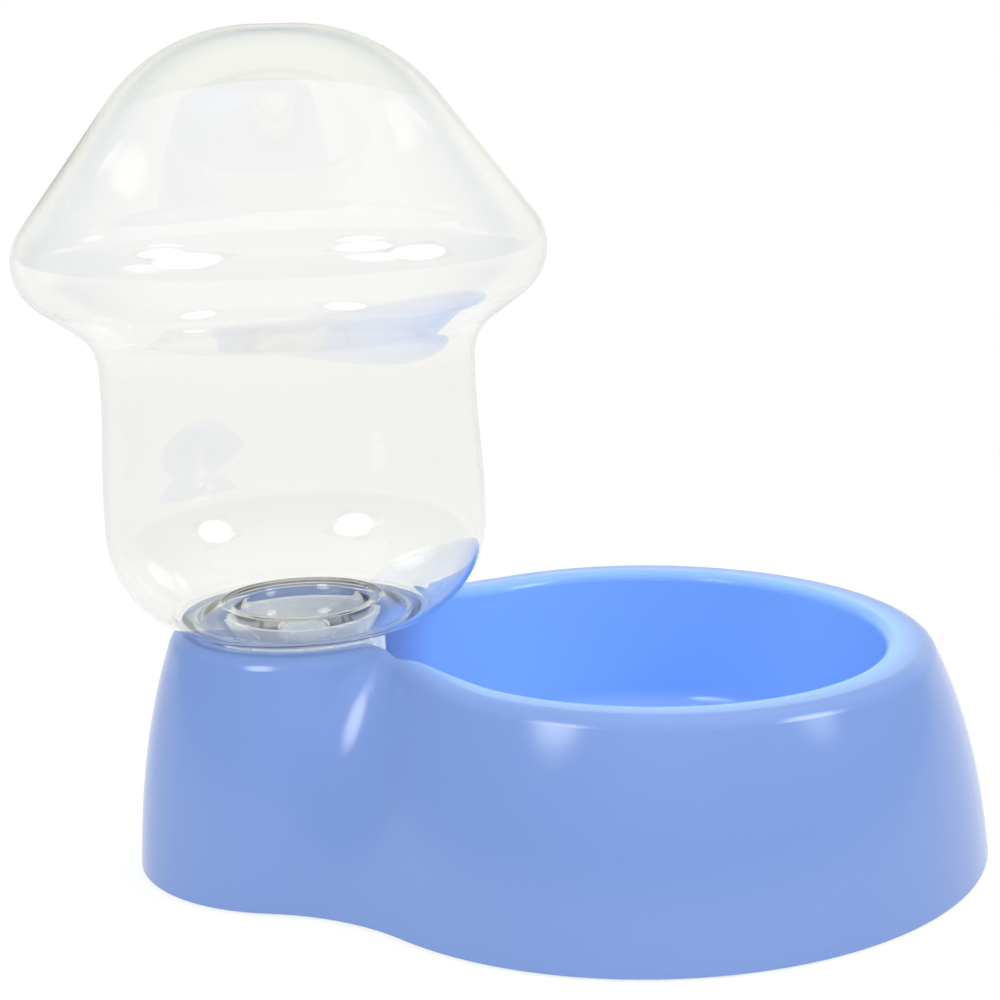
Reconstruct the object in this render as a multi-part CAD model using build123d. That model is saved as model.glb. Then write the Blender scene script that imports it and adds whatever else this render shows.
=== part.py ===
"""Gravity water dispenser for pets: a mushroom-shaped bottle stands neck down in a moulded bowl.

Lengths are in millimetres and +Z is up. The bottle's axis is the vertical line through bottle_x, the
round bowl's axis is the one through bowl_x, and the part stands on its rubber feet on the plane Z = 0.
The origin lies on that plane, under the middle of the whole part.
"""

from build123d import *
import math
import os

# Plan of the base
axis_pitch = 118.0  # bottle axis to bowl axis
tower_foot_radius = 60.0
bowl_foot_radius = 115.3
waist_foot_radius = 80.0  # hollow side between tower and bowl, at the foot
waist_rim_radius = 11.0  # the same, at the rim

# Heights of the base
skirt_lift = 0.8  # skirt edge above the floor
tower_rim_height = 82.5
bowl_rim_height = 77.0  # where the rim's slope towards the bowl ends
bowl_end_height = 73.4  # at the end away from the bottle
basin_floor_height = 23.0

# Walls and rims of the base
wall = 2.5
tower_rim_radius = 46.0  # outer edge of the tower's rim, before rounding
bowl_rim_radius = 94.0
rim_outer_round = 6.5
rim_inner_round = 3.6
mouth_radius = 81.0
basin_draft = 5.0  # how much the basin narrows from mouth to floor
floor_round = 9.0
well_radius = 34.5  # round well under the bottle
gate_half_width = 21.0  # half the opening from the well to the bowl
gate_round = 4.0
crown_thickness = 4.9  # plastic between the rim's top and the hollow below it

# Bottle
bottle_wall = 1.2
brim_radius = 87.5  # widest part of the mushroom's cap
brim_overhang = 7.4  # from there out to where the flat roof and the brim's underside would meet
brim_rise = 120.7  # height of that meeting above the bead
brim_angle = 36.0  # of the brim's underside
brim_round = 17.9
brim_hollow_round = 17.0
roof_angle = 52.8  # of the roof's side
crown_round = 60.0
stem_radius = 63.8
stem_rise = 45.2  # where the stem starts to narrow, above the bead
waist_radius = 62.1  # slimmest part of the stem
waist_rise = 75.2
waist_round = 150.0
shoulder_angle = 21.3
shoulder_round = 35.2
bottle_rise = 198.2  # shoulder bead to crown
bead_radius = 38.6  # lowest ring of the shoulder
bead_width = 4.4
bead_round = 2.4
groove_round = 1.6  # groove round the neck's root
min_round = 0.6
neck_radius = 23.2
neck_wall = 1.8
neck_length = 26.0
neck_root_rise = 4.9  # neck's root above the bead
rim_clearance = 1.8  # bead above the tower's rim
seat_gap = 0.3

# Screw cap
thread_room = 1.3  # left between neck and cap for the thread
cap_wall = 2.0
cap_end = 2.2
cap_skirt_height = 24.6
cap_edge = 1.0
grip_count = 10
grip_depth = 1.2
grip_width = 7.4
grip_top_width = 1.9
grip_height = 16.0
grip_taper_height = 5.0
gasket_thickness = 2.0
gasket_width = 3.6

# Valve
valve_travel = 4.0
stem_rod_radius = 3.0
slide_gap = 0.1  # rod in its guide
seal_gap = 0.3  # washer above the ports with the valve closed
guide_wall = 1.8
guide_length = 6.5
port_radius = 10.5  # outer radius of the water ports in the cap's end
port_count = 4
spoke_width = 2.6
washer_overlap = 2.0
washer_thickness = 1.6
head_thickness = 2.0
spring_wire = 0.8
spring_turns = 4.5
spring_length = 9.8  # pressed, with the bottle seated
button_radius = 9.0  # foot of the plunger
button_thickness = 2.6
rod_end_radius = 2.4
press_gap = 0.05

# Inside the well: the post that opens the valve, and the ribs that carry the cap
post_foot_radius = 7.0
post_top_radius = 4.5
seat_rib_angles = (90, 180, 270)  # none towards the gate
seat_rib_width = 2.6
seat_rib_reach = 4.5  # how far the ribs reach in under the cap

# Rubber feet
foot_radius = 6.0
foot_thickness = 3.0
foot_pocket_gap = 0.1
boss_wall = 2.0
boss_height = 12.0
foot_inset = 9.5  # foot's centre inside the skirt's edge
bowl_foot_angle = 52.0
tower_foot_angle = 128.0

# Places that follow from the sizes
bottle_x = -(axis_pitch + bowl_foot_radius - brim_radius) / 2
bowl_x = bottle_x + axis_pitch
bead_z = tower_rim_height + rim_clearance
neck_root_z = bead_z + neck_root_rise
lip_z = neck_root_z - neck_length
cap_end_top_z = lip_z - gasket_thickness
cap_bottom_z = cap_end_top_z - cap_end
cap_bore_radius = neck_radius + thread_room
cap_radius = cap_bore_radius + cap_wall
guide_bore_radius = stem_rod_radius + slide_gap
guide_radius = guide_bore_radius + guide_wall
washer_z = cap_end_top_z + valve_travel + seal_gap
washer_radius = port_radius + washer_overlap
head_z = washer_z + washer_thickness
spring_foot_z = cap_bottom_z - spring_length
button_z = spring_foot_z - button_thickness
post_top_z = button_z - seat_gap
spring_radius = guide_radius + seal_gap + spring_wire / 2
top_clear_z = 2 * tower_rim_height  # above the whole base


def on_bottle_axis(shape):
    """Moves a shape built round Z to the bottle's axis."""
    return Pos(bottle_x, 0, 0) * shape


def polar(centre_x, radius, degrees):
    """Point at an angle on a circle round (centre_x, 0)."""
    angle = math.radians(degrees)
    return Vector(centre_x + radius * math.cos(angle), radius * math.sin(angle), 0)


def arc_through(centre_x, radius, start, end):
    """Arc round (centre_x, 0), from one angle to another in degrees."""
    middle = (start + end) / 2
    return ThreePointArc(*(polar(centre_x, radius, angle) for angle in (start, middle, end)))


def across_middle(point):
    """The point's mirror image in the plane Y = 0."""
    return Vector(point.X, -point.Y, point.Z)


def gourd_face(tower_radius, bowl_radius, hollow_radius, height):
    """Plan outline of the base: a small and a large circle joined by hollow arcs."""
    to_tower = tower_radius + hollow_radius
    to_bowl = bowl_radius + hollow_radius
    along = (to_tower**2 - to_bowl**2 + axis_pitch**2) / (2 * axis_pitch)
    aside = math.sqrt(to_tower**2 - along**2)
    tower_angle = math.degrees(math.atan2(aside, along))
    bowl_angle = math.degrees(math.atan2(aside, along - axis_pitch))
    tower_point = polar(bottle_x, tower_radius, tower_angle)
    bowl_point = polar(bowl_x, bowl_radius, bowl_angle)
    hollow_centre = Vector(bottle_x + along, aside, 0)
    inward = (tower_point + bowl_point) * 0.5 - hollow_centre
    hollow_point = hollow_centre + inward.normalized() * hollow_radius
    back = (bowl_point, hollow_point, tower_point)
    front = tuple(across_middle(point) for point in reversed(back))
    outline = [
        arc_through(bottle_x, tower_radius, 180, 360 - tower_angle),
        ThreePointArc(*front),
        arc_through(bowl_x, bowl_radius, -bowl_angle, 0),
        arc_through(bowl_x, bowl_radius, 0, bowl_angle),
        ThreePointArc(*back),
        arc_through(bottle_x, tower_radius, tower_angle, 180),
    ]
    return Pos(0, 0, height) * make_face(outline)


def lean_at(share):
    """Share of the walls' inward lean reached at a share of the height; they lean most near the rim."""
    return 0.35 * share + 0.65 * share**2.4


def above_rim(drop):
    """Everything above the rim: level over the tower, then a soft step down to the sloping bowl rim."""
    tower_end = bottle_x - 2 * tower_foot_radius
    bowl_end = bowl_x + 2 * bowl_foot_radius
    step_start = (bottle_x + well_radius * 0.6, tower_rim_height - drop)
    step_end = (bottle_x + 2 * well_radius, bowl_rim_height - drop)
    slope = (bowl_end_height - bowl_rim_height) / (bowl_x + bowl_rim_radius - step_end[0])
    far_end = (bowl_end, step_end[1] + slope * (bowl_end - step_end[0]))
    near_end = (tower_end, step_start[1])
    side_view = [
        Line(near_end, step_start),
        Spline(step_start, step_end, tangents=((1, 0), (1, slope))),
        Line(step_end, far_end),
        Polyline(far_end, (bowl_end, top_clear_z), (tower_end, top_clear_z), near_end),
    ]
    return extrude(make_face(Plane.XZ * Curve(side_view)), amount=2 * bowl_foot_radius, both=True)


def outer_body(inset, drop, straight=False):
    """Solid inside the base's outer wall, moved in by inset, its rim moved down by drop."""
    above_tower = (tower_rim_height + rim_outer_round - skirt_lift) / (bowl_rim_height - skirt_lift)
    sections = []
    for share in (0.0, 0.2, 0.4, 0.6, 0.8, 0.95, above_tower):
        lean = lean_at(share)
        sections.append(
            gourd_face(
                tower_foot_radius + (tower_rim_radius - tower_foot_radius) * lean - inset,
                bowl_foot_radius + (bowl_rim_radius - bowl_foot_radius) * lean - inset,
                waist_foot_radius + (waist_rim_radius - waist_foot_radius) * min(share, 1.0) + inset,
                skirt_lift + (bowl_rim_height - skirt_lift) * share,
            )
        )
    return loft(sections, ruled=straight) - above_rim(drop)


def basin_face(radius, grow, height):
    """Plan outline of the basin: a circle and the two lines that narrow it down to the gate."""
    gate_x = bottle_x + math.sqrt(well_radius**2 - gate_half_width**2)
    gate = Vector(gate_x, gate_half_width, 0)
    to_centre = Vector(bowl_x, 0, 0) - gate
    turn = math.asin(radius / to_centre.length) + math.atan2(to_centre.Y, to_centre.X)
    along = Vector(math.cos(turn), math.sin(turn), 0)
    aside = Vector(-along.Y, along.X, 0)
    tangent_point = Vector(bowl_x, 0, 0) + aside * (radius + grow)
    in_well = gate + aside * grow - along * well_radius * 0.4
    outline = [
        Line(across_middle(in_well), across_middle(tangent_point)),
        arc_through(bowl_x, radius + grow, math.degrees(-turn) - 90, 0),
        arc_through(bowl_x, radius + grow, 0, math.degrees(turn) + 90),
        Line(tangent_point, in_well),
        Line(in_well, across_middle(in_well)),
    ]
    return Pos(0, 0, height) * make_face(outline)


def water_space(grow):
    """Space for water in basin, gate and well, made larger by grow on the sides and at the floor."""
    floor = basin_floor_height - grow
    rise = top_clear_z - floor
    flare = math.degrees(math.atan(basin_draft / (bowl_rim_height - floor)))
    basin = extrude(basin_face(mouth_radius - basin_draft, grow, floor), rise, taper=-flare)
    space = basin + Pos(bottle_x, 0, floor) * extrude(Circle(well_radius + grow), rise)
    upright = [edge for edge in space.edges() if abs(edge.tangent_at(0.5).Z) > 0.7]
    horns = [edge for edge in upright if abs(abs(edge.center().Y) - gate_half_width) < gate_half_width / 2]
    space = fillet(horns, gate_round - grow if grow < gate_round - 1 else 1.0)
    return fillet(space.faces().sort_by(Axis.Z)[0].edges(), floor_round + grow)


def rim_edges(shape):
    """Edges of the rim's top, all round the shape."""
    upward = [face for face in shape.faces() if face.normal_at().Z > 0.9]
    tops = [face for face in upward if face.center().Z > bowl_end_height - wall]
    bounds = [edge for face in tops for edge in face.edges()]
    return [edge for edge in bounds if sum(edge.is_same(other) for other in bounds) == 1]


def push_post(grow):
    """Post in the middle of the well that holds the valve open; the one for its hollow has grow below 0."""
    bottom = basin_floor_height - 2 * wall
    height = post_top_z + grow - bottom
    on_foot = (Align.CENTER, Align.CENTER, Align.MIN)
    post = Cone(post_foot_radius + grow, post_top_radius + grow, height, align=on_foot)
    return Pos(bottle_x, 0, bottom) * post


def seat_rib():
    """Upright rib from the well's wall to under the cap's edge."""
    bottom = basin_floor_height - wall / 2
    inner = cap_radius - seat_rib_reach
    length = well_radius + wall / 2 - inner
    height = cap_bottom_z - seat_gap - bottom
    on_end = (Align.MIN, Align.CENTER, Align.MIN)
    return Pos(inner, 0, bottom) * Box(length, seat_rib_width, height, align=on_end)


def foot_places():
    """Centres of the four rubber feet, under the bowl's and the tower's walls."""
    places = []
    for side in (-1, 1):
        places.append(polar(bowl_x, bowl_foot_radius - foot_inset, side * bowl_foot_angle))
        places.append(polar(bottle_x, tower_foot_radius - foot_inset, side * tower_foot_angle))
    return places


def disc(radius, bottom, top):
    """Cylinder round Z between two heights."""
    return Pos(0, 0, bottom) * Cylinder(radius, top - bottom, align=(Align.CENTER, Align.CENTER, Align.MIN))


def base_shell():
    """Bowl, gate, well and outer skirt in one moulding, open underneath."""
    solid = outer_body(0, 0)
    solid = fillet(rim_edges(solid), rim_outer_round)
    space = water_space(0)
    shell = solid - space
    inner_edges = [edge for edge in rim_edges(shell) if space.distance_to(edge @ 0.5) < 0.01]
    shell = fillet(inner_edges, rim_inner_round)
    under = outer_body(wall, crown_thickness, straight=True) - water_space(wall)
    under += extrude(under.faces().sort_by(Axis.Z)[0], amount=-2 * skirt_lift)
    shell = shell - under + push_post(0) - push_post(-wall)
    for angle in seat_rib_angles:
        shell += Pos(bottle_x, 0, 0) * Rot(0, 0, angle) * seat_rib()
    boss_radius = foot_radius + foot_pocket_gap + boss_wall
    for place in foot_places():
        shell += Pos(place) * disc(boss_radius, skirt_lift, boss_height)
        shell -= Pos(place) * disc(foot_radius + foot_pocket_gap, 0, foot_thickness)
    return shell


def bottle_corners():
    """Corners of the bottle's outline from the neck's mouth to the crown, each with its rounding."""
    lean = math.tan(math.radians(shoulder_angle))
    side_lean = math.tan(math.radians(roof_angle))
    roof_foot = brim_radius + brim_overhang
    roof_foot_z = bead_z + brim_rise
    crown_z = bead_z + bottle_rise
    roof_top = roof_foot - (crown_z - roof_foot_z) / side_lean
    under_brim_z = roof_foot_z - (roof_foot - waist_radius) * math.tan(math.radians(brim_angle))
    bead_end = bead_radius + bead_width / 2
    return [
        ((neck_radius, lip_z), 0),
        ((neck_radius, neck_root_z), groove_round),
        ((bead_radius - bead_width / 2 - 2 * neck_root_rise, neck_root_z), groove_round),
        ((bead_radius - bead_width / 2, bead_z), bead_round),
        ((bead_end, bead_z), bead_round),
        ((stem_radius, bead_z + (stem_radius - bead_end) * lean), shoulder_round),
        ((stem_radius, bead_z + stem_rise), waist_round),
        ((waist_radius, bead_z + waist_rise), waist_round),
        ((waist_radius, under_brim_z), brim_hollow_round),
        ((roof_foot, roof_foot_z), brim_round),
        ((roof_top, crown_z), crown_round),
        ((0, crown_z), 0),
    ]


def wall_from(start):
    """Wall's thickness on the side of the outline that starts at this corner."""
    return neck_wall if start.Y < bead_z and start.X <= neck_radius else bottle_wall


def moved_in(corners, wall_here):
    """The same outline moved towards the inside by the wall, corner by corner."""
    points = [Vector(x, z) for (x, z), rounding in corners]
    sides = [(end - start).normalized() for start, end in zip(points, points[1:])]
    shifts = [Vector(-side.Y, side.X) * wall_here(start) for side, start in zip(sides, points)]
    moved = [(points[0] + shifts[0], 0)]
    for number in range(1, len(points) - 1):
        before, after = sides[number - 1], sides[number]
        turn = before.X * after.Y - before.Y * after.X
        gap = shifts[number] - shifts[number - 1]
        along = (gap.X * after.Y - gap.Y * after.X) / turn
        corner = points[number] + shifts[number - 1] + before * along
        rounding = corners[number][1] - math.copysign(bottle_wall, turn)
        moved.append((corner, max(rounding, min_round)))
    moved.append((points[-1] + shifts[-1], 0))
    return [((corner.X, corner.Y), rounding) for corner, rounding in moved]


def rounded_line(corners):
    """Line through the corners with each one rounded."""
    points = [corner for corner, rounding in corners]
    return FilletPolyline(*points, radius=[rounding for corner, rounding in corners[1:-1]])


def water_bottle():
    """Blown bottle, hollow, with its neck set up into the shoulder."""
    outside = bottle_corners()
    inside = moved_in(outside, wall_from)
    lip = Line(inside[0][0], outside[0][0])
    crown = Line(outside[-1][0], inside[-1][0])
    profile = make_face([*rounded_line(outside).edges(), crown, *rounded_line(inside).edges(), lip])
    return on_bottle_axis(revolve(Plane.XZ * profile, Axis.Z))


def grip_rib(angle):
    """Upright rib on the cap's skirt, tapered towards the top."""
    foot = cap_bottom_z + cap_skirt_height - cap_edge / 2 - grip_height
    shoulder = foot + grip_height - grip_taper_height
    half = [(grip_width / 2, foot), (grip_width / 2, shoulder), (grip_top_width / 2, foot + grip_height)]
    corners = half + [(-x, z) for x, z in reversed(half)]
    reach = cap_radius + grip_depth
    rib = extrude(Plane.YZ * make_face(Polyline(*corners, close=True)), reach)
    room = disc(reach, foot, foot + grip_height) - disc(cap_radius - 0.5, 0, bead_z)
    return Rot(0, 0, angle) * (rib & room)


def valve_cap():
    """Screw cap with water ports, the plunger's guide in the middle and grip ribs outside."""
    cap = disc(cap_radius, cap_bottom_z, cap_bottom_z + cap_skirt_height)
    cap = chamfer(cap.edges().sort_by(Axis.Z)[0], cap_edge)
    cap -= disc(cap_bore_radius, cap_end_top_z, bead_z)
    cap -= disc(port_radius, 0, cap_end_top_z)
    cap += disc(guide_radius, cap_end_top_z - guide_length, cap_end_top_z)
    spoke = Pos(port_radius / 2, 0, 0) * Box(
        port_radius + 1, spoke_width, cap_end, align=(Align.CENTER, Align.CENTER, Align.MIN)
    )
    for number in range(port_count):
        cap += Rot(0, 0, 45 + number * 360 / port_count) * (Pos(0, 0, cap_bottom_z) * spoke)
    cap -= disc(guide_bore_radius, 0, cap_end_top_z)
    for number in range(grip_count):
        cap += grip_rib(number * 360 / grip_count - 90)
    return on_bottle_axis(cap)


def cap_gasket():
    """Flat ring between the bottle's lip and the cap's end."""
    outer = neck_radius + neck_wall / 3
    return on_bottle_axis(disc(outer, cap_end_top_z, lip_z) - disc(outer - gasket_width, 0, lip_z))


def valve_plunger():
    """Head above the ports and the rod that runs down through the guide."""
    head = disc(washer_radius, head_z, head_z + head_thickness)
    head = chamfer(head.edges().sort_by(Axis.Z)[-1], head_thickness / 3)
    rod = disc(stem_rod_radius, spring_foot_z, head_z)
    peg = disc(rod_end_radius, button_z + 0.4, spring_foot_z)
    return on_bottle_axis(head + rod + peg)


def valve_washer():
    """Soft washer under the plunger's head that closes the ports."""
    hole = disc(stem_rod_radius + press_gap, 0, head_z)
    return on_bottle_axis(disc(washer_radius, washer_z, head_z) - hole)


def plunger_foot():
    """Round foot pressed on the rod's end; it carries the spring and meets the post."""
    foot = disc(button_radius, button_z, spring_foot_z)
    foot = chamfer(foot.edges().sort_by(Axis.Z)[0], 0.6)
    return on_bottle_axis(foot - disc(rod_end_radius + press_gap, button_z + 0.4 - press_gap, spring_foot_z))


def valve_spring():
    """Coil spring between the plunger's foot and the cap."""
    clear = spring_wire / 2 + press_gap
    height = spring_length - 2 * clear
    bottom = spring_foot_z + clear
    path = Helix(height / spring_turns, height, spring_radius)
    section = Plane(origin=path @ 0, z_dir=path % 0) * RegularPolygon(spring_wire / 2, 6)
    return on_bottle_axis(Pos(0, 0, bottom) * sweep(section, path, is_frenet=True))


def rubber_feet():
    """Four round feet pressed into the pockets under the skirt."""
    foot = disc(foot_radius, 0, foot_thickness - press_gap)
    foot = chamfer(foot.edges().sort_by(Axis.Z)[0], foot_thickness / 8)
    return Compound(children=[Pos(place) * foot for place in foot_places()])


def main():
    """Builds each piece and writes it to its own file."""
    os.makedirs("parts", exist_ok=True)
    pieces = [
        base_shell,
        rubber_feet,
        water_bottle,
        valve_cap,
        cap_gasket,
        valve_plunger,
        valve_washer,
        plunger_foot,
        valve_spring,
    ]
    for piece in pieces:
        export_step(piece(), os.path.join("parts", piece.__name__ + ".step"))


if __name__ == "__main__":
    main()
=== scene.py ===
"""Looks of the gravity water dispenser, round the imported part: metres, +Z up, the part's own frame."""

import math

import bmesh
import bpy
from mathutils import Matrix, Vector


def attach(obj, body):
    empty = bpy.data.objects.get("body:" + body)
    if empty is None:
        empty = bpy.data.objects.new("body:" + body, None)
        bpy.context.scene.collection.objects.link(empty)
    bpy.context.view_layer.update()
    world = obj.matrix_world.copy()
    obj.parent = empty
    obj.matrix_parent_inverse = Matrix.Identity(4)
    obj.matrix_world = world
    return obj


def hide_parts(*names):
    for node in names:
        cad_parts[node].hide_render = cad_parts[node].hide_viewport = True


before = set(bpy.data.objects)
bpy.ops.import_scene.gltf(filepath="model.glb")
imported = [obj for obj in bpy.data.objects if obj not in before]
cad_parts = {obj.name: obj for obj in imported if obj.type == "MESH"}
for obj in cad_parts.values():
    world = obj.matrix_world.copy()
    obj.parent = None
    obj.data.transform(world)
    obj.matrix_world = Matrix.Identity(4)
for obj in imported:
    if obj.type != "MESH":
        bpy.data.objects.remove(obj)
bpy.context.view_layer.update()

MM = 0.001

# Bottle, in millimetres: radii from its own axis and heights above the floor
BOTTLE_X = -72.9
AROUND = 192  # points round the axis
ARC_STEP = 1.2  # along a rounded corner
MIN_ARC_RADIUS = 4.0  # a tighter corner gets as many points as this one
WALL = 1.2
NECK_WALL = 1.8
NECK_RADIUS = 23.2
NECK_SIDE = 24.0  # the neck's thicker wall is inside this radius
NECK_TOP_Z = 88.0  # and below this height
LIP_Z = 63.24  # a hair above the gasket
ROOT_Z = 89.2
ROOT_RADIUS = 26.6
ROOT_ROUND = 1.6
BEAD_Z = 84.3
BEAD_INNER = 36.4
BEAD_OUTER = 40.8
BEAD_ROUND = 2.4
SHOULDER_Z = 93.27
SHOULDER_ROUND = 35.2
STEM_RADIUS = 63.8
STEM_TOP_Z = 129.5
WAIST_RADIUS = 62.1
WAIST_Z = 159.5
WAIST_ROUND = 150.0
BRIM_LOW_Z = 181.23
BRIM_HOLLOW_ROUND = 17.0
BRIM_RADIUS = 94.9
BRIM_Z = 205.0
BRIM_ROUND = 17.9
CROWN_RADIUS = 35.84
CROWN_Z = 282.5
CROWN_ROUND = 60.0

# Rings blown into the wall round the neck's root
RIPPLE_DEPTH = 0.35
RIPPLE_PER_MM = 1.9
RIPPLE_START = 26.0
RIPPLE_END = 46.0
RIPPLE_TOP_Z = 92.0

# Thread on the neck
THREAD_TURNS = 1.5
THREAD_PITCH = 4.0
THREAD_STEPS = 150
THREAD_FOOT_Z = 66.6
THREAD_REACH = 0.75
THREAD_SINK = 0.05  # into the neck's wall
THREAD_FOOT_HALF = 1.0
THREAD_TOP_HALF = 0.35
THREAD_FADE = 8  # the ends thin out over one part in this many
THREAD_LEAST_HEIGHT = 0.15  # share of the height that is left at the ends

# Painted bounce light on the blue moulding, in metres: the bowl's inside, painted a brighter, fuller
# blue, lies within a ball round this point
PAINTED_BOUNCE_MIDDLE = (0.0451, 0.0, 0.060)
PAINTED_BOUNCE_FULL_WITHIN = 0.086
PAINTED_BOUNCE_ENDS_AT = 0.094

# The bottle's colour grows a little darker and yellower from the brim down to the stem, in metres
DARKENING_STARTS_Z = 0.205
DARKENING_FULL_Z = 0.172

# Stage, in metres
FLOOR_SIZE = 80
FLOOR_GLOW = 0.72
FLOOR_SHADOW_REACH = 0.25  # the floor takes light and shadow fully up to here
FLOOR_PLAIN_FROM = 0.75  # and is plain white from here
PANEL_SOFT_EDGE = 0.55
LIT_POINT = (0, 0, 0.12)
CAMERA_PLACE = (0.032365, -0.721025, 0.282770)
CAMERA_RIGHT = (0.999587, 0.008376, -0.027497)
CAMERA_UP = (0.025020, 0.217446, 0.975752)
CAMERA_BACK = (0.014152, -0.976036, 0.217147)
CAMERA_LENS = 78.69
CAMERA_SENSOR = 36.0
CAMERA_SHIFT_X = -0.0768


# Materials


def principled(name, colour, roughness):
    """New material, its main shader, its nodes and its links."""
    material = bpy.data.materials.new(name)
    material.use_nodes = True
    nodes, links = material.node_tree.nodes, material.node_tree.links
    shader = nodes["Principled BSDF"]
    shader.inputs["Base Color"].default_value = (*colour, 1)
    shader.inputs["Roughness"].default_value = roughness
    return material, shader, nodes, links


def see_through(shader, ior, weight):
    """Lets light pass through the shader's surface."""
    shader.inputs["IOR"].default_value = ior
    shader.inputs["Transmission Weight"].default_value = weight


def ramp(nodes, start, end, top=1.0, smooth=True):
    """Node that climbs from 0 at start to top at end."""
    node = nodes.new("ShaderNodeMapRange")
    node.inputs["From Min"].default_value = start
    node.inputs["From Max"].default_value = end
    node.inputs["To Max"].default_value = top
    if smooth:
        node.interpolation_type = "SMOOTHSTEP"
    return node


def blend(nodes, low, high):
    """Node that mixes two colours."""
    node = nodes.new("ShaderNodeMix")
    node.data_type = "RGBA"
    node.inputs["A"].default_value = (*low, 1)
    node.inputs["B"].default_value = (*high, 1)
    return node


def blue_plastic():
    """Glossy light blue polypropylene; the bowl's inside is painted a brighter, fuller blue as painted
    bounce light.
    """
    material, shader, nodes, links = principled("blue_plastic", (0.175, 0.275, 0.585), 0.17)
    place = nodes.new("ShaderNodeTexCoord")
    apart = nodes.new("ShaderNodeVectorMath")
    apart.operation = "DISTANCE"
    apart.inputs[1].default_value = PAINTED_BOUNCE_MIDDLE
    inside = ramp(nodes, PAINTED_BOUNCE_FULL_WITHIN, PAINTED_BOUNCE_ENDS_AT, smooth=False)
    # painted bounce light: brighter, fuller blue inside the bowl, the plain blue outside it
    tone = blend(nodes, (0.235, 0.445, 0.93), (0.175, 0.275, 0.585))
    links.new(place.outputs["Object"], apart.inputs[0])
    links.new(apart.outputs["Value"], inside.inputs["Value"])
    links.new(inside.outputs["Result"], tone.inputs["Factor"])
    links.new(tone.outputs["Result"], shader.inputs["Base Color"])
    shader.inputs["IOR"].default_value = 1.5
    return material


def clear_plastic():
    """Clear bottle plastic, a little darker and yellower from the brim down to the stem, and tinted
    where light passes along the wall.
    """
    material, shader, nodes, links = principled("clear_plastic", (1.0, 1.0, 0.994), 0.0)
    see_through(shader, 1.5, 1.0)
    place = nodes.new("ShaderNodeTexCoord")
    split = nodes.new("ShaderNodeSeparateXYZ")
    height = ramp(nodes, DARKENING_STARTS_Z, DARKENING_FULL_Z, smooth=False)
    tone = blend(nodes, (1.0, 1.0, 0.994), (0.958, 0.957, 0.944))
    links.new(place.outputs["Object"], split.inputs["Vector"])
    links.new(split.outputs["Z"], height.inputs["Value"])
    links.new(height.outputs["Result"], tone.inputs["Factor"])
    links.new(tone.outputs["Result"], shader.inputs["Base Color"])
    depth = nodes.new("ShaderNodeVolumeAbsorption")
    depth.inputs["Color"].default_value = (0.50, 0.50, 0.40, 1)
    depth.inputs["Density"].default_value = 34.0
    links.new(depth.outputs["Volume"], nodes["Material Output"].inputs["Volume"])
    return material


def milky_plastic():
    """Translucent natural cap plastic."""
    material, shader, _, _ = principled("milky_plastic", (0.985, 0.99, 0.995), 0.08)
    see_through(shader, 1.2, 0.62)
    return material


def white_plastic_painted_blue_light():
    """Translucent white plastic of the valve, painted light blue for the well's blue light that shines
    through it.
    """
    # painted light: the light blue stands in for the well's blue light seen through the white valve
    material, shader, _, _ = principled("white_plastic_painted_blue_light", (0.84, 0.91, 0.99), 0.15)
    see_through(shader, 1.2, 0.85)
    return material


def silicone():
    """Soft translucent white silicone."""
    material, shader, _, _ = principled("silicone", (0.93, 0.93, 0.92), 0.4)
    see_through(shader, 1.2, 0.6)
    return material


def grey_rubber():
    """Matt grey rubber."""
    return principled("grey_rubber", (0.42, 0.43, 0.45), 0.8)[0]


def steel():
    """Drawn stainless wire."""
    material, shader, _, _ = principled("steel", (0.66, 0.66, 0.64), 0.28)
    shader.inputs["Metallic"].default_value = 1.0
    return material


def dress(node, material):
    """Gives a CAD node a better material."""
    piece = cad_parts[node]
    piece.data.materials.clear()
    piece.data.materials.append(material)
    for polygon in piece.data.polygons:
        polygon.use_smooth = True


BLUE = blue_plastic()
CLEAR = clear_plastic()
MILKY = milky_plastic()
WHITE_PAINTED_BLUE_LIGHT = white_plastic_painted_blue_light()
SILICONE = silicone()
RUBBER = grey_rubber()
STEEL = steel()
for node_name, node_material in (
    ("base_shell", BLUE),
    ("rubber_feet", RUBBER),
    ("valve_cap", MILKY),
    ("cap_gasket", SILICONE),
    ("valve_plunger", WHITE_PAINTED_BLUE_LIGHT),
    ("valve_washer", SILICONE),
    ("plunger_foot", WHITE_PAINTED_BLUE_LIGHT),
    ("valve_spring", STEEL),
):
    dress(node_name, node_material)

# Translucent pieces let the light through to the well
for node_name in ("valve_cap", "cap_gasket", "valve_plunger", "valve_washer", "plunger_foot"):
    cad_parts[node_name].visible_shadow = False


# Bottle


def on_axis(radius, angle, height):
    """Point in metres at a radius and height in millimetres round the bottle's axis."""
    x = BOTTLE_X + radius * math.cos(angle)
    y = radius * math.sin(angle)
    return (x * MM, y * MM, height * MM)


def clear_piece(name, build, smooth):
    """Piece of the bottle from a finished bmesh; it casts no shadow, as clear plastic hardly does."""
    bmesh.ops.recalc_face_normals(build, faces=build.faces)
    mesh = bpy.data.meshes.new(name)
    build.to_mesh(mesh)
    build.free()
    for polygon in mesh.polygons:
        polygon.use_smooth = smooth
    piece = bpy.data.objects.new(name, mesh)
    bpy.context.collection.objects.link(piece)
    piece.data.materials.append(CLEAR)
    piece.visible_shadow = False
    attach(piece, "bottle")
    return piece


def ring_of(build, radius, height):
    """Vertices at one point of the profile: a ring, or a single one on the axis."""
    if radius < 1e-6:
        return [build.verts.new(on_axis(0, 0, height))]
    angles = [2 * math.pi * k / AROUND for k in range(AROUND)]
    return [build.verts.new(on_axis(radius, angle, height)) for angle in angles]


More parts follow.
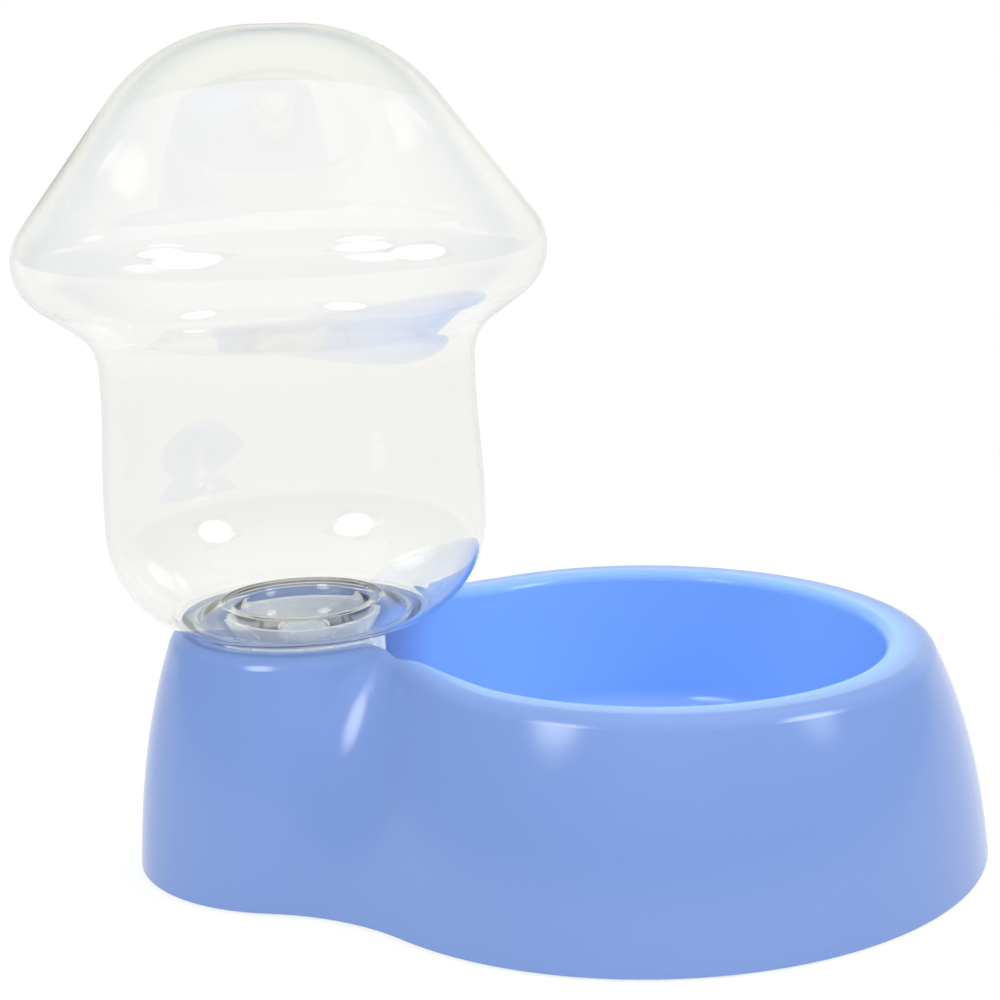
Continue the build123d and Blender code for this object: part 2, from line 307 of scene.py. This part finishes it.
def turned(name, profile):
    """Solid of revolution round the bottle's axis from a closed line of (radius, height) points."""
    build = bmesh.new()
    rings = [ring_of(build, radius, height) for radius, height in profile]
    for low, high in zip(rings, rings[1:] + rings[:1]):
        if len(low) == 1 and len(high) == 1:
            continue
        for k in range(AROUND):
            n = (k + 1) % AROUND
            if len(low) == 1:
                build.faces.new((low[0], high[n], high[k]))
            elif len(high) == 1:
                build.faces.new((low[k], low[n], high[0]))
            else:
                build.faces.new((low[k], low[n], high[n], high[k]))
    return clear_piece(name, build, smooth=True)


def corners():
    """Corners of the bottle's outline as (radius, height) and the rounding of each."""
    return [
        ((NECK_RADIUS, LIP_Z), 0),
        ((NECK_RADIUS, ROOT_Z), ROOT_ROUND),
        ((ROOT_RADIUS, ROOT_Z), ROOT_ROUND),
        ((BEAD_INNER, BEAD_Z), BEAD_ROUND),
        ((BEAD_OUTER, BEAD_Z), BEAD_ROUND),
        ((STEM_RADIUS, SHOULDER_Z), SHOULDER_ROUND),
        ((STEM_RADIUS, STEM_TOP_Z), WAIST_ROUND),
        ((WAIST_RADIUS, WAIST_Z), WAIST_ROUND),
        ((WAIST_RADIUS, BRIM_LOW_Z), BRIM_HOLLOW_ROUND),
        ((BRIM_RADIUS, BRIM_Z), BRIM_ROUND),
        ((CROWN_RADIUS, CROWN_Z), CROWN_ROUND),
        ((0.0, CROWN_Z), 0),
    ]


def arc_at(before, here, after, radius):
    """Points of the arc that rounds the corner here."""
    back, forth = (before - here).normalized(), (after - here).normalized()
    half = back.angle(forth) / 2
    cut = radius / math.tan(half)
    centre = here + (back + forth).normalized() * (radius / math.sin(half))
    start, end = here + back * cut - centre, here + forth * cut - centre
    turn = start.angle_signed(end)
    count = max(4, math.ceil(abs(turn) * max(radius, MIN_ARC_RADIUS) / ARC_STEP))
    points = []
    for k in range(count + 1):
        angle = -turn * k / count
        cos, sin = math.cos(angle), math.sin(angle)
        points.append(centre + Vector((start.x * cos - start.y * sin, start.x * sin + start.y * cos)))
    return points


def outer_profile():
    """Points along the bottle's outline, each corner rounded by an arc."""
    outline = corners()
    spots = [Vector(spot) for spot, rounding in outline]
    points = [spots[0]]
    for i in range(1, len(outline) - 1):
        points += arc_at(spots[i - 1], spots[i], spots[i + 1], outline[i][1])
    points.append(spots[-1])
    return points


def wall_at(point):
    """Wall's thickness: thicker at the neck and rippled round its root."""
    at_neck = point.y < NECK_TOP_Z and point.x < NECK_SIDE
    thick = NECK_WALL if at_neck else WALL
    if RIPPLE_START < point.x < RIPPLE_END and point.y < RIPPLE_TOP_Z:
        thick += RIPPLE_DEPTH * math.sin((point.x - RIPPLE_START) * RIPPLE_PER_MM)
    return thick


def inner_profile(outside):
    """The outline moved inwards by the wall."""
    inside = []
    for i, point in enumerate(outside):
        before, after = outside[max(i - 1, 0)], outside[min(i + 1, len(outside) - 1)]
        along = (after - before).normalized()
        aside = Vector((-along.y, along.x))
        moved = point + aside * wall_at(point)
        inside.append(Vector((max(moved.x, 0.0), moved.y)))
    return inside


def neck_thread():
    """Thread round the neck, which thins out at both ends."""
    build = bmesh.new()
    section = [
        (-THREAD_SINK, -THREAD_FOOT_HALF),
        (THREAD_REACH, -THREAD_TOP_HALF),
        (THREAD_REACH, THREAD_TOP_HALF),
        (-THREAD_SINK, THREAD_FOOT_HALF),
    ]
    rings = []
    for k in range(THREAD_STEPS + 1):
        share = k / THREAD_STEPS
        angle = 2 * math.pi * THREAD_TURNS * share
        swell = min(1.0, THREAD_FADE * share, THREAD_FADE * (1 - share))
        height = THREAD_FOOT_Z + THREAD_PITCH * THREAD_TURNS * share
        ring = []
        for out, up in section:
            radius = NECK_RADIUS + max(out * swell, -THREAD_SINK)
            rise = up * max(swell, THREAD_LEAST_HEIGHT)
            ring.append(build.verts.new(on_axis(radius, angle, height + rise)))
        rings.append(ring)
    for low, high in zip(rings, rings[1:]):
        for k in range(len(section)):
            n = (k + 1) % len(section)
            build.faces.new((low[k], low[n], high[n], high[k]))
    build.faces.new(rings[0])
    build.faces.new(rings[-1][::-1])
    clear_piece("neck_thread", build, smooth=False)


outer_side = outer_profile()
bottle = turned("bottle_wall", outer_side + inner_profile(outer_side)[::-1])
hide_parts("water_bottle")
neck_thread()


# Floor, light and camera


def facing(place, target):
    """Rotation of something at a place that looks along its own -Z at the target."""
    aim = Vector(target) - Vector(place)
    return aim.to_track_quat("-Z", "Y").to_euler()


def make_floor():
    """Wide white floor; only the part near the object takes light and shadow."""
    bpy.ops.mesh.primitive_plane_add(size=FLOOR_SIZE, location=(0, 0, 0))
    floor = bpy.context.object
    floor.name = "floor"
    material, shader, nodes, links = principled("floor_white", (0.30, 0.30, 0.30), 1.0)
    shader.inputs["Specular IOR Level"].default_value = 0.0
    shader.inputs["Emission Color"].default_value = (1, 1, 1, 1)
    shader.inputs["Emission Strength"].default_value = FLOOR_GLOW
    plain = nodes.new("ShaderNodeEmission")
    place = nodes.new("ShaderNodeNewGeometry")
    distance = nodes.new("ShaderNodeVectorMath")
    distance.operation = "LENGTH"
    far = ramp(nodes, FLOOR_SHADOW_REACH, FLOOR_PLAIN_FROM)
    mix = nodes.new("ShaderNodeMixShader")
    links.new(place.outputs["Position"], distance.inputs[0])
    links.new(distance.outputs["Value"], far.inputs["Value"])
    links.new(far.outputs["Result"], mix.inputs["Fac"])
    links.new(shader.outputs["BSDF"], mix.inputs[1])
    links.new(plain.outputs["Emission"], mix.inputs[2])
    links.new(mix.outputs["Shader"], nodes["Material Output"].inputs["Surface"])
    floor.data.materials.append(material)


def make_world():
    """Cool surroundings, white overhead and low behind; the camera itself sees white there."""
    world = bpy.data.worlds.new("studio")
    bpy.context.scene.world = world
    world.use_nodes = True
    nodes, links = world.node_tree.nodes, world.node_tree.links
    background = nodes["Background"]
    background.inputs["Strength"].default_value = 1.0
    rays = nodes.new("ShaderNodeLightPath")
    way = nodes.new("ShaderNodeTexCoord")
    split = nodes.new("ShaderNodeSeparateXYZ")
    overhead = ramp(nodes, 0.45, 0.90)
    behind = ramp(nodes, 0.50, 0.85)
    low = ramp(nodes, 0.52, 0.30)
    low_behind = nodes.new("ShaderNodeMath")
    low_behind.operation = "MULTIPLY"
    either = nodes.new("ShaderNodeMath")
    either.operation = "MAXIMUM"
    sky = blend(nodes, (0.42, 0.51, 0.57), (0.93, 0.94, 0.89))
    seen = blend(nodes, (0, 0, 0), (1, 1, 1))
    links.new(way.outputs["Generated"], split.inputs["Vector"])
    links.new(split.outputs["Z"], overhead.inputs["Value"])
    links.new(split.outputs["Y"], behind.inputs["Value"])
    links.new(split.outputs["Z"], low.inputs["Value"])
    links.new(behind.outputs["Result"], low_behind.inputs[0])
    links.new(low.outputs["Result"], low_behind.inputs[1])
    links.new(overhead.outputs["Result"], either.inputs[0])
    links.new(low_behind.outputs["Value"], either.inputs[1])
    links.new(either.outputs["Value"], sky.inputs["Factor"])
    links.new(sky.outputs["Result"], seen.inputs["A"])
    links.new(rays.outputs["Is Camera Ray"], seen.inputs["Factor"])
    links.new(seen.outputs["Result"], background.inputs["Color"])


def panel_glow(name, strength):
    """Light that fades from the middle of a panel to its edge."""
    material = bpy.data.materials.new(name)
    material.use_nodes = True
    nodes, links = material.node_tree.nodes, material.node_tree.links
    nodes.remove(nodes["Principled BSDF"])
    place = nodes.new("ShaderNodeTexCoord")
    spread = nodes.new("ShaderNodeMapping")
    spread.inputs["Scale"].default_value = (2, 2, 2)
    ball = nodes.new("ShaderNodeTexGradient")
    ball.gradient_type = "SPHERICAL"
    soft = ramp(nodes, 0, PANEL_SOFT_EDGE, top=strength)
    glow = nodes.new("ShaderNodeEmission")
    links.new(place.outputs["Object"], spread.inputs["Vector"])
    links.new(spread.outputs["Vector"], ball.inputs["Vector"])
    links.new(ball.outputs["Fac"], soft.inputs["Value"])
    links.new(soft.outputs["Result"], glow.inputs["Strength"])
    links.new(glow.outputs["Emission"], nodes["Material Output"].inputs["Surface"])
    return material


def add_panel(name, place, width, height, strength):
    """Soft-edged light panel that faces the object."""
    bpy.ops.mesh.primitive_plane_add(size=1, location=place)
    panel = bpy.context.object
    panel.name = name
    panel.scale = (width, height, 1)
    panel.rotation_euler = facing(place, LIT_POINT)
    panel.data.materials.append(panel_glow(name, strength))
    panel.visible_camera = False


def add_lamp(name, place, target, size, power):
    """Soft square lamp that points at the target; it isn't mirrored in anything."""
    lamp = bpy.data.lights.new(name, "AREA")
    lamp.shape = "RECTANGLE"
    lamp.size = size
    lamp.size_y = size
    lamp.energy = power
    lamp.specular_factor = 0.0
    holder = bpy.data.objects.new(name, lamp)
    bpy.context.collection.objects.link(holder)
    holder.location = place
    holder.rotation_euler = facing(place, target)
    holder.visible_transmission = False
    holder.visible_glossy = False


def make_camera():
    """Camera at the photograph's place."""
    lens = bpy.data.cameras.new("camera")
    lens.sensor_width = CAMERA_SENSOR
    lens.lens = CAMERA_LENS
    lens.shift_x = CAMERA_SHIFT_X
    camera = bpy.data.objects.new("camera", lens)
    bpy.context.collection.objects.link(camera)
    turn = Matrix((CAMERA_RIGHT, CAMERA_UP, CAMERA_BACK)).transposed().to_4x4()
    camera.matrix_world = Matrix.Translation(CAMERA_PLACE) @ turn
    bpy.context.scene.camera = camera


make_floor()
make_world()
add_panel("panel_left", (-0.75, -0.95, 1.0), 0.75, 0.85, 9)
add_panel("panel_right", (1.35, -0.50, 0.95), 0.8, 0.9, 9)
add_lamp("over", (0.25, 0.25, 1.5), (0.03, 0, 0), 0.9, 7.2)
add_lamp("front", (0.1, -1.5, 0.9), (0, 0, 0.1), 1.0, 4.5)
make_camera()
bpy.context.scene.view_settings.view_transform = "Standard"
